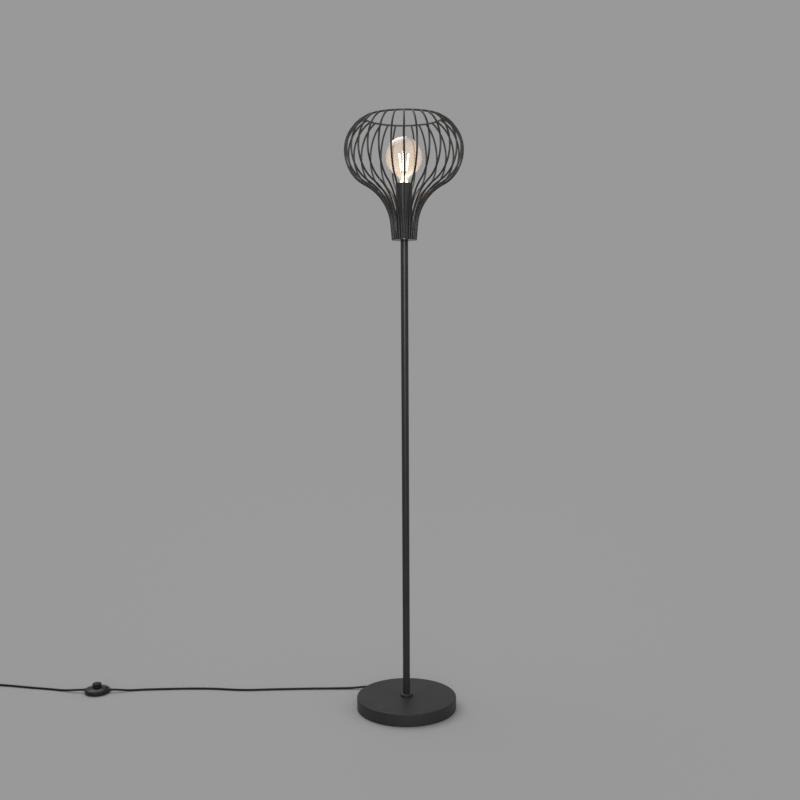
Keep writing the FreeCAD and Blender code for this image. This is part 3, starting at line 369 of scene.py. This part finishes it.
def lit_through(glass):
    """Lets the lamps' light, and the rays that the wires throw back, straight through a finish."""
    path = glass.nodes.new("ShaderNodeLightPath")
    mirrored = glass.nodes.new("ShaderNodeMath")
    mirrored.operation = "SUBTRACT"
    mirrored.use_clamp = True
    glass.join(path.outputs["Is Glossy Ray"], mirrored.inputs[0])
    glass.join(path.outputs["Is Transmission Ray"], mirrored.inputs[1])
    through = glass.nodes.new("ShaderNodeBsdfTransparent")
    shown = glass.shader.outputs["BSDF"]
    for ray in (path.outputs["Is Diffuse Ray"], mirrored.outputs["Value"],
                path.outputs["Is Shadow Ray"]):
        mix = glass.nodes.new("ShaderNodeMixShader")
        glass.join(ray, mix.inputs["Fac"])
        glass.join(shown, mix.inputs[1])
        glass.join(through.outputs["BSDF"], mix.inputs[2])
        shown = mix.outputs["Shader"]
    glass.join(shown, glass.nodes["Material Output"].inputs["Surface"])


def clear_glass(settings):
    """Blown clear glass: faintly wavy, with a film so thin that only the filaments show it."""
    glass = Finish("clear_bulb_glass", settings.glass_tint, 0.0, Transmission_Weight=0.988,
                   IOR=1.47)
    glass.bump(glass.noise(0.02, detail=1.0), 0.00006, strength=0.4)
    lit_through(glass)


def pressed_glass(settings):
    """The stem's glass, pressed while hot: cloudy and uneven, so that it catches the light, with a
    painted glow on top that stands in for the filaments' light on it.
    """
    glass = Finish("pressed_stem_glass", settings.glass_tint, 0.22, Transmission_Weight=0.62,
                   # The stem's emission is a painted glow, not a light of its own.
                   IOR=1.5, Emission_Color=(*settings.glow_tint, 1.0),
                   Emission_Strength=settings.stem_painted_glow)
    glass.rough(glass.noise(0.003, detail=3.0), 0.12, 0.40)
    glass.bump(glass.noise(0.0022, detail=3.0, roughness=0.6), 0.00025, strength=0.8)
    lit_through(glass)


def lit_filament(settings):
    """Phosphor rods that glow, a little brighter at each of the chips under the phosphor. They
    only look bright: the light on the wires comes from the bulb's own lamp, without specks."""
    rod = Finish("glowing_phosphor", (0.85, 0.62, 0.22), 0.6,
                 Emission_Color=(*settings.glow_tint, 1.0), Emission_Strength=settings.glow)
    wave = rod.nodes.new("ShaderNodeTexWave")
    wave.bands_direction = "Z"
    wave.inputs["Scale"].default_value = 1.0 / CHIP_SPACING
    rod.join(rod.place, wave.inputs["Vector"])
    level = rod.nodes.new("ShaderNodeMapRange")
    level.inputs["To Min"].default_value = settings.glow * 0.8
    level.inputs["To Max"].default_value = settings.glow * 1.2
    rod.join(wave.outputs["Fac"], level.inputs["Value"])
    rod.join(level.outputs["Result"], rod.shader.inputs["Emission Strength"])
    rod.tones(wave.outputs["Fac"], (0.2, (0.86, 0.60, 0.18)), (0.8, (0.92, 0.74, 0.34)))
    lit_through(rod)
    rod.material.cycles.emission_sampling = "NONE"


def dark_glass():
    glass = Finish("dark_insulator_glass", (0.012, 0.011, 0.014), 0.08, Coat_Weight=0.4)
    glass.tones(glass.noise(0.003, detail=3.0), (0.3, (0.010, 0.009, 0.012)),
                (0.7, (0.020, 0.018, 0.024)))
    glass.bump(glass.noise(0.002), 0.00002, strength=0.5)


def core_sheath():
    """The leads' insulation: blue on one side of the lamp's middle, brown on the other."""
    core = Finish("core_insulation", (0.10, 0.17, 0.42), 0.42)
    apart = core.nodes.new("ShaderNodeSeparateXYZ")
    core.join(core.place, apart.inputs["Vector"])
    core.tones(apart.outputs["X"], (0.0, (0.16, 0.075, 0.035)), (0.004, (0.06, 0.13, 0.38)))
    core.rough(core.noise(0.002, detail=3.0), 0.36, 0.5)
    core.bump(core.noise(0.0006), 0.00002, strength=0.5)


def cord_sheath(name, tint):
    """Satin sheath whose faint drawing lines run along the cord, on the curve's own UV."""
    sheath = Finish(name, tint, 0.36, Specular_IOR_Level=0.22)
    drawn = sheath.stretched((60.0, 9.0, 1.0), sheath.along)
    lines = sheath.noise(1.0, detail=3.0, roughness=0.6, place=drawn)
    cloud = sheath.noise(0.012, detail=3.0)
    sheath.tones(cloud, (0.3, scaled(tint, 0.85)), (0.7, scaled(tint, 1.2)))
    sheath.rough(cloud, 0.31, 0.45)
    sheath.bump(lines, 0.00006, strength=0.5)
    sheath.bump(sheath.noise(0.0007), 0.00002, strength=0.5)


def finish(name):
    """A finish that is made already, by its name."""
    material = bpy.data.materials.get(name)
    if material is None:
        raise RuntimeError("the finish %s isn't made yet" % name)
    return material


def coat_node(node, material):
    """Gives a CAD node its finish, on every slot."""
    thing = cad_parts[node]
    for slot in thing.material_slots:
        slot.material = material


# ---------------------------------------------------------------- pieces
def piece_from(mesh_maker, name, body, material):
    """An object at the origin from a bmesh that mesh_maker shapes, riding on body."""
    shape = bmesh.new()
    mesh_maker(shape)
    bmesh.ops.remove_doubles(shape, verts=shape.verts, dist=MERGE_GAP)
    bmesh.ops.recalc_face_normals(shape, faces=shape.faces)
    mesh = bpy.data.meshes.new(name)
    shape.to_mesh(mesh)
    shape.free()
    for face in mesh.polygons:
        face.use_smooth = True
    mesh.materials.append(material)
    thing = bpy.data.objects.new(name, mesh)
    bpy.context.scene.collection.objects.link(thing)
    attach(thing, body)
    return thing


def spun(shape, outline, steps):
    """A closed disc from an outline of (radius, height) corners, turned about Z."""
    corners = [shape.verts.new((radius, 0.0, height)) for radius, height in outline]
    edges = [shape.edges.new((a, b)) for a, b in zip(corners, corners[1:])]
    bmesh.ops.spin(shape, geom=corners + edges, cent=(0.0, 0.0, 0.0), axis=(0.0, 0.0, 1.0),
                   angle=2 * math.pi, steps=steps, use_merge=True)


def cord_curve(name, route, radius, material):
    """A round cord on one open NURBS spline whose control points are the route's points."""
    curve = bpy.data.curves.new(name, "CURVE")
    curve.dimensions = "3D"
    curve.resolution_u = CURVE_STEPS
    curve.bevel_depth = radius
    curve.bevel_resolution = CORD_ROUNDING
    curve.use_fill_caps = True
    spline = curve.splines.new("NURBS")
    spline.points.add(len(route) - 1)
    for point, place in zip(spline.points, route):
        point.co = (*place, 1.0)
    spline.order_u = 3
    spline.use_endpoint_u = True
    curve.materials.append(material)
    thing = bpy.data.objects.new(name, curve)
    bpy.context.scene.collection.objects.link(thing)
    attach(thing, "lamp")
    return thing


def coil_points(settings):
    """The coil's turns: two in on the floor, half a turn up, and the rest out on top."""
    count = round(settings.coil_turns * settings.turn_points)
    innermost = LOW_TURNS + CLIMB_TURNS / 2
    for index in range(1, count):
        turn = index / settings.turn_points
        bearing = math.radians(90.0) + 2 * math.pi * turn
        radius = settings.coil_radius - settings.coil_step * (innermost - abs(turn - innermost))
        radius /= math.cos(math.pi / settings.turn_points)  # the spline runs inside its points
        climb = min(1.0, max(0.0, (turn - LOW_TURNS) / CLIMB_TURNS))
        height = settings.coil_step * climb * climb * (3 - 2 * climb)
        yield (settings.coil_centre[0] + radius * math.cos(bearing),
               settings.coil_centre[1] + radius * math.sin(bearing),
               settings.coil_centre[2] + height)


def line_length(thing):
    """The length of a curve's own line."""
    bare = bpy.data.objects.new("bare", thing.data.copy())
    bare.data.bevel_depth = 0.0
    mesh = bpy.data.meshes.new_from_object(bare)
    total = sum((mesh.vertices[a].co - mesh.vertices[b].co).length
                for a, b in (edge.vertices for edge in mesh.edges))
    bpy.data.meshes.remove(mesh)
    bpy.data.curves.remove(bare.data)
    return total


def felt_pad(name, node, steps):
    """A round or oval sheet of felt in the place of its CAD solid, glued under its carrier."""
    low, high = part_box(node)
    radius, across, thick = (high.x - low.x) / 2, (high.y - low.y) / 2, high.z - low.z
    soft = min(FELT_EDGE, thick * 0.3)
    outline = [(0.0, 0.0), (radius * 0.5, 0.0), (radius - soft, 0.0),
               (radius - soft * 0.3, soft * 0.3), (radius, soft), (radius, thick - soft),
               (radius - soft * 0.3, thick - soft * 0.3), (radius - soft, thick),
               (radius * 0.5, thick), (0.0, thick)]
    centre = Vector(((low.x + high.x) / 2, (low.y + high.y) / 2, low.z))

    def oval(shape):
        spun(shape, outline, steps)
        bmesh.ops.scale(shape, vec=(1.0, across / radius, 1.0), verts=shape.verts)
        bmesh.ops.translate(shape, vec=centre, verts=shape.verts)

    pad = piece_from(oval, name, "lamp", finish("pressed_felt"))
    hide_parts(node)


# ---------------------------------------------------------------- operators
class LAMP_OT_stage(Operator):
    """Make the plain floor, the soft lights and the camera of the photograph"""

    bl_idname = "floor_lamp.stage"
    bl_label = "Stage"

    def execute(self, context):
        settings = context.scene.floor_lamp.stage
        scene = context.scene
        scene.view_settings.view_transform = "Standard"
        self.camera(scene, settings)
        level = settings.sky_level
        for name, power in (("front_light", settings.front_power),
                            ("side_light", settings.side_power),
                            ("top_light", settings.top_power)):
            level += self.sun(scene, name, power, *map(math.radians, SUNS[name]))
        self.soft_box(scene, settings)
        self.floor(settings)
        self.world(scene, settings, level)
        return {"FINISHED"}

    def camera(self, scene, settings):
        data = bpy.data.cameras.new("photo_camera")
        data.sensor_width = SENSOR_WIDTH
        data.lens = settings.lens_pixels * SENSOR_WIDTH / PHOTO_SIDE
        data.shift_y = settings.lens_rise / PHOTO_SIDE
        camera = bpy.data.objects.new("photo_camera", data)
        camera.matrix_world = (Matrix.Translation(settings.camera_place)
                               @ Matrix.Rotation(math.pi / 2 - settings.camera_tilt, 4, "X")
                               @ Matrix.Rotation(-settings.camera_roll, 4, "Z"))
        scene.collection.objects.link(camera)
        scene.camera = camera

    def sun(self, scene, name, power, turn, drop, spread):
        """A wide soft light from far away; returns the level that it gives a flat floor."""
        data = bpy.data.lights.new(name, "SUN")
        data.energy = power
        data.angle = spread
        light = bpy.data.objects.new(name, data)
        light.matrix_world = Matrix.Rotation(turn, 4, "Z") @ Matrix.Rotation(drop, 4, "X")
        scene.collection.objects.link(light)
        return power * math.cos(drop) / math.pi

    def soft_box(self, scene, settings):
        """A tall soft box that faces the shade, so that the pole darkens towards its foot."""
        data = bpy.data.lights.new("soft_box", "AREA")
        data.shape = "RECTANGLE"
        data.size, data.size_y = settings.box_size
        data.energy = settings.box_power
        data.spread = settings.box_spread
        light = bpy.data.objects.new("soft_box", data)
        light.matrix_world = (Matrix.Translation(settings.box_place)
                              @ Matrix.Rotation(math.pi / 2, 4, "X"))
        light.visible_camera = False
        scene.collection.objects.link(light)

    def floor(self, settings):
        shape = bmesh.new()
        bmesh.ops.create_circle(shape, cap_ends=True, segments=FLOOR_SIDES,
                              radius=settings.floor_radius)
        mesh = bpy.data.meshes.new("studio_floor")
        shape.to_mesh(mesh)
        shape.free()
        paper = Finish("studio_paper", settings.floor_colour, 1.0, Specular_IOR_Level=0.0)
        mesh.materials.append(paper.material)
        thing = bpy.data.objects.new("studio_floor", mesh)
        bpy.context.scene.collection.objects.link(thing)

    def world(self, scene, settings, level):
        """Even light all round, which looks like the floor where it is seen or mirrored."""
        world = bpy.data.worlds.new("studio_sky")
        world.use_nodes = True
        nodes, links = world.node_tree.nodes, world.node_tree.links
        sky = nodes["Background"]
        sky.inputs["Color"].default_value = (1.0, 1.0, 1.0, 1.0)
        sky.inputs["Strength"].default_value = settings.sky_level
        seen = nodes.new("ShaderNodeBackground")
        seen.inputs["Color"].default_value = (*settings.floor_colour, 1.0)
        seen.inputs["Strength"].default_value = level
        path = nodes.new("ShaderNodeLightPath")
        lit = sky.outputs["Background"]
        for ray in ("Is Camera Ray", "Is Glossy Ray", "Is Transmission Ray"):
            mix = nodes.new("ShaderNodeMixShader")
            links.new(path.outputs[ray], mix.inputs["Fac"])
            links.new(lit, mix.inputs[1])
            links.new(seen.outputs["Background"], mix.inputs[2])
            lit = mix.outputs["Shader"]
        links.new(lit, nodes["World Output"].inputs["Surface"])
        scene.world = world


class LAMP_OT_finishes(Operator):
    """Make the finishes that the pieces share"""

    bl_idname = "floor_lamp.finishes"
    bl_label = "Finishes"

    def execute(self, context):
        settings = context.scene.floor_lamp
        coat = settings.coat
        powder_coat("black_powder_coat", coat, 1.0, 1.0)
        # Painted light and shade: the pole, wires and sleeve wear the same black coat, painted
        # darker on the pole and wires and lighter on the sleeve.
        powder_coat("satin_coat_painted_darker", coat, 0.72, 0.25, gloss=0.34, painted_light_shade=0.85)
        powder_coat("wire_coat_painted_darker", coat, 0.72, 0.12, gloss=0.48, painted_light_shade=0.70)
        powder_coat("sleeve_coat_painted_lighter", coat, 0.72, 0.15, gloss=0.45, painted_light_shade=1.35)
        powder_coat("smooth_black_coat", coat, 0.45, 0.15)
        zinc_plate()
        cast_iron()
        pressed_felt()
        glazed_ceramic()
        plain_brass()
        nickel_plate()
        clear_glass(settings.bulb)
        pressed_glass(settings.bulb)
        lit_filament(settings.bulb)
        dark_glass()
        core_sheath()
        cord_sheath("cord_sheath", tuple(settings.cord.tint))
        moulded_black("holder_plastic", (0.018, 0.018, 0.018), 0.30, 0.44)
        moulded_black("switch_plastic", (0.011, 0.0108, 0.0115), 0.20, 0.32, grain=0.0008,
                      height=0.00002, gloss=0.3)
        moulded_black("button_plastic", (0.012, 0.012, 0.0128), 0.30, 0.42, grain=0.0008,
                      height=0.00003, gloss=0.16)
        moulded_black("soft_rubber", (0.014, 0.014, 0.015), 0.52, 0.70)
        moulded_black("tie_plastic", tuple(settings.cord.tie_tint), 0.34, 0.5)
        return {"FINISHED"}


class LAMP_OT_cords(Operator):
    """Lay the cord from the base to the foot switch, and from there to the plug"""

    bl_idname = "floor_lamp.cords"
    bl_label = "Cords"

    def execute(self, context):
        settings = context.scene.floor_lamp.cord
        sheath = finish("cord_sheath")
        lead = cord_curve("mains_lead", LEAD_ROUTE, settings.radius, sheath)
        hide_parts("cord_lead")
        line_length(lead)
        route = TAIL_ROUTE + tuple(coil_points(settings)) + END_ROUTE
        tail = cord_curve("mains_tail", route, settings.radius, sheath)
        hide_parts("cord_tail", "cord_coil", "cord_end")
        tie = self.tie()
        line_length(tail)
        return {"FINISHED"}

    def tie(self):
        """A flat band round the coil's bundle, with rounded corners."""
        low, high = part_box("cord_tie")
        middle, size = (low + high) / 2, high - low

        def band(shape):
            bmesh.ops.create_cube(shape, size=1.0)
            bmesh.ops.scale(shape, vec=size, verts=shape.verts)
            corners = [edge for edge in shape.edges
                       if abs((edge.verts[0].co - edge.verts[1].co).y) > 0.9 * size.y]
            bmesh.ops.bevel(shape, geom=corners, offset=TIE_CORNER, offset_type="OFFSET",
                            segments=6, profile=0.5, affect="EDGES", material=-1)
            ends = [face for face in shape.faces if abs(face.normal.y) > 0.9]
            bmesh.ops.delete(shape, geom=ends, context="FACES_ONLY")
            bmesh.ops.recalc_face_normals(shape, faces=shape.faces)
            bmesh.ops.solidify(shape, geom=shape.faces[:], thickness=TIE_WALL)
            bmesh.ops.translate(shape, vec=middle, verts=shape.verts)

        tie = piece_from(band, "coil_tie", "lamp", finish("tie_plastic"))
        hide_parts("cord_tie")
        return tie


class LAMP_OT_base(Operator):
    """Finish the round base, its weight and its fixings, and lay the felt under it"""

    bl_idname = "floor_lamp.base"
    bl_label = "Base"

    def execute(self, context):
        coat_node("base_cover", finish("black_powder_coat"))
        for node in ("base_bottom_plate", "base_nut", "base_nipple", "base_washer"):
            coat_node(node, finish("zinc_plated_steel"))
        coat_node("base_weight", finish("cast_iron"))
        coat_node("cord_gland", finish("soft_rubber"))
        felt_pad("base_felt", "base_felt_pad", steps=160)
        return {"FINISHED"}


class LAMP_OT_pole(Operator):
    """Finish the pole, its foot ring and its bushes"""

    bl_idname = "floor_lamp.pole"
    bl_label = "Pole"

    def execute(self, context):
        coat_node("pole", finish("satin_coat_painted_darker"))
        coat_node("pole_foot_ring", finish("holder_plastic"))
        for node in ("pole_foot_bush", "pole_head_bush"):
            coat_node(node, finish("zinc_plated_steel"))
        self.inner_cord(context.scene.floor_lamp.cord)
        return {"FINISHED"}

    def inner_cord(self, settings):
        """The cord down the pole's middle and round one bend to the back of the base."""
        low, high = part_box("inner_cord")
        turn, level = settings.inner_bend, low.z + settings.radius
        away = Vector((LEAD_ROUTE[0][0], LEAD_ROUTE[0][1], 0.0))
        away.normalize()
        end = (low.x + settings.radius * abs(away.y)) / away.x
        near, far = turn * (2 - math.sqrt(2)), turn * math.sqrt(2)  # these two keep to the arc
        rise = Vector((0.0, 0.0, level))
        route = [(0.0, 0.0, high.z), (0.0, 0.0, (high.z + level) / 2), (0.0, 0.0, level + far),
                 (0.0, 0.0, level + near), away * near + rise, away * far + rise,
                 away * end + rise]
        cord = cord_curve("pole_cord", route, settings.radius, finish("cord_sheath"))
        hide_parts("inner_cord")


class LAMP_OT_cage(Operator):
    """Finish the cage's wires, its rim ring and its disc"""

    bl_idname = "floor_lamp.cage"
    bl_label = "Cage"

    def execute(self, context):
        for node in ("cage_wires", "cage_rim_ring"):
            coat_node(node, finish("wire_coat_painted_darker"))
        coat_node("cage_disc", finish("smooth_black_coat"))
        return {"FINISHED"}


class LAMP_OT_holder(Operator):
    """Finish the lampholder and its sleeve"""

    bl_idname = "floor_lamp.holder"
    bl_label = "Lampholder"

    def execute(self, context):
        coat_node("lampholder_sleeve", finish("sleeve_coat_painted_lighter"))
        for node in ("holder_barrel", "holder_cap"):
            coat_node(node, finish("holder_plastic"))
        coat_node("holder_insert", finish("glazed_ceramic"))
        for node in ("holder_thread_shell", "holder_centre_contact"):
            coat_node(node, finish("pressed_brass"))
        for node in ("holder_nipple", "holder_nut", "holder_washer", "holder_terminal_screws"):
            coat_node(node, finish("zinc_plated_steel"))
        coat_node("holder_leads", finish("core_insulation"))
        return {"FINISHED"}


class LAMP_OT_bulb(Operator):
    """Finish the lit globe bulb"""

    bl_idname = "floor_lamp.bulb"
    bl_label = "Bulb"

    def execute(self, context):
        coat_node("bulb_globe", finish("clear_bulb_glass"))
        coat_node("bulb_stem", finish("pressed_stem_glass"))
        coat_node("bulb_cap", finish("nickel_plated_cap"))
        coat_node("bulb_contact", finish("pressed_brass"))
        coat_node("bulb_insulator", finish("dark_insulator_glass"))
        coat_node("bulb_filament_supports", finish("nickel_plated_cap"))
        coat_node("bulb_filaments", finish("glowing_phosphor"))
        self.light(context.scene, context.scene.floor_lamp.bulb)
        return {"FINISHED"}

    def light(self, scene, settings):
        """The light that the filaments send out, from the middle of them."""
        low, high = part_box("bulb_filaments")
        data = bpy.data.lights.new("bulb_light", "POINT")
        data.energy = settings.lamp_power
        data.color = settings.lamp_tint
        data.shadow_soft_size = (high.x - low.x) / 2
        light = bpy.data.objects.new("bulb_light", data)
        light.location = (low + high) / 2
        light.visible_camera = light.visible_transmission = light.visible_glossy = False
        scene.collection.objects.link(light)


class LAMP_OT_switch(Operator):
    """Finish the foot switch and its works"""

    bl_idname = "floor_lamp.foot_switch"
    bl_label = "Foot switch"

    def execute(self, context):
        for node in ("switch_cover", "switch_base"):
            coat_node(node, finish("switch_plastic"))
        coat_node("switch_button", finish("button_plastic"))
        coat_node("switch_grommets", finish("soft_rubber"))
        felt_pad("switch_felt", "switch_pad", steps=96)
        for node in ("switch_block", "switch_plunger"):
            coat_node(node, finish("glazed_ceramic"))
        coat_node("switch_screws", finish("smooth_black_coat"))
        coat_node("switch_contact_screws", finish("zinc_plated_steel"))
        self.spring("button_spring", "switch_spring", "button_press")
        coat_node("switch_contacts", finish("pressed_brass"))
        coat_node("switch_leads", finish("core_insulation"))
        return {"FINISHED"}

    def spring(self, name, node, joint):
        """The spring under the button, copied from its CAD solid onto a mesh of its own."""
        spring = piece_from(lambda shape: shape.from_mesh(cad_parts[node].data), name, "lamp",
                            finish("zinc_plated_steel"))
        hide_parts(node)
        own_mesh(spring)


class LAMP_OT_plug(Operator):
    """Finish the plug"""

    bl_idname = "floor_lamp.plug"
    bl_label = "Plug"

    def execute(self, context):
        coat_node("plug_body", finish("switch_plastic"))
        coat_node("plug_pin_sleeves", finish("holder_plastic"))
        coat_node("plug_pins", finish("nickel_plated_cap"))
        return {"FINISHED"}


class LAMP_PT_sidebar(Panel):
    """The steps of the lamp, in order."""

    bl_idname = "LAMP_PT_sidebar"
    bl_label = "Floor Lamp"
    bl_space_type = "VIEW_3D"
    bl_region_type = "UI"
    bl_category = "Floor Lamp"

    def draw(self, context):
        for step in STEPS:
            self.layout.operator(step.bl_idname)


SETTINGS = (StageSettings, CoatSettings, CordSettings, BulbSettings, LampSettings)
STEPS = (LAMP_OT_stage, LAMP_OT_finishes, LAMP_OT_cords, LAMP_OT_base, LAMP_OT_pole, LAMP_OT_cage,
         LAMP_OT_holder, LAMP_OT_bulb, LAMP_OT_switch, LAMP_OT_plug)
CLASSES = SETTINGS + STEPS + (LAMP_PT_sidebar,)


def register():
    for made in CLASSES:
        bpy.utils.register_class(made)
    bpy.types.Scene.floor_lamp = PointerProperty(type=LampSettings)


def unregister():
    del bpy.types.Scene.floor_lamp
    for made in reversed(CLASSES):
        bpy.utils.unregister_class(made)


def main():
    register()
    bpy.ops.floor_lamp.stage()
    bpy.ops.floor_lamp.finishes()
    bpy.ops.floor_lamp.cords()
    bpy.ops.floor_lamp.base()
    bpy.ops.floor_lamp.pole()
    bpy.ops.floor_lamp.cage()
    bpy.ops.floor_lamp.holder()
    bpy.ops.floor_lamp.bulb()
    bpy.ops.floor_lamp.foot_switch()
    bpy.ops.floor_lamp.plug()


if __name__ == "__main__":
    main()
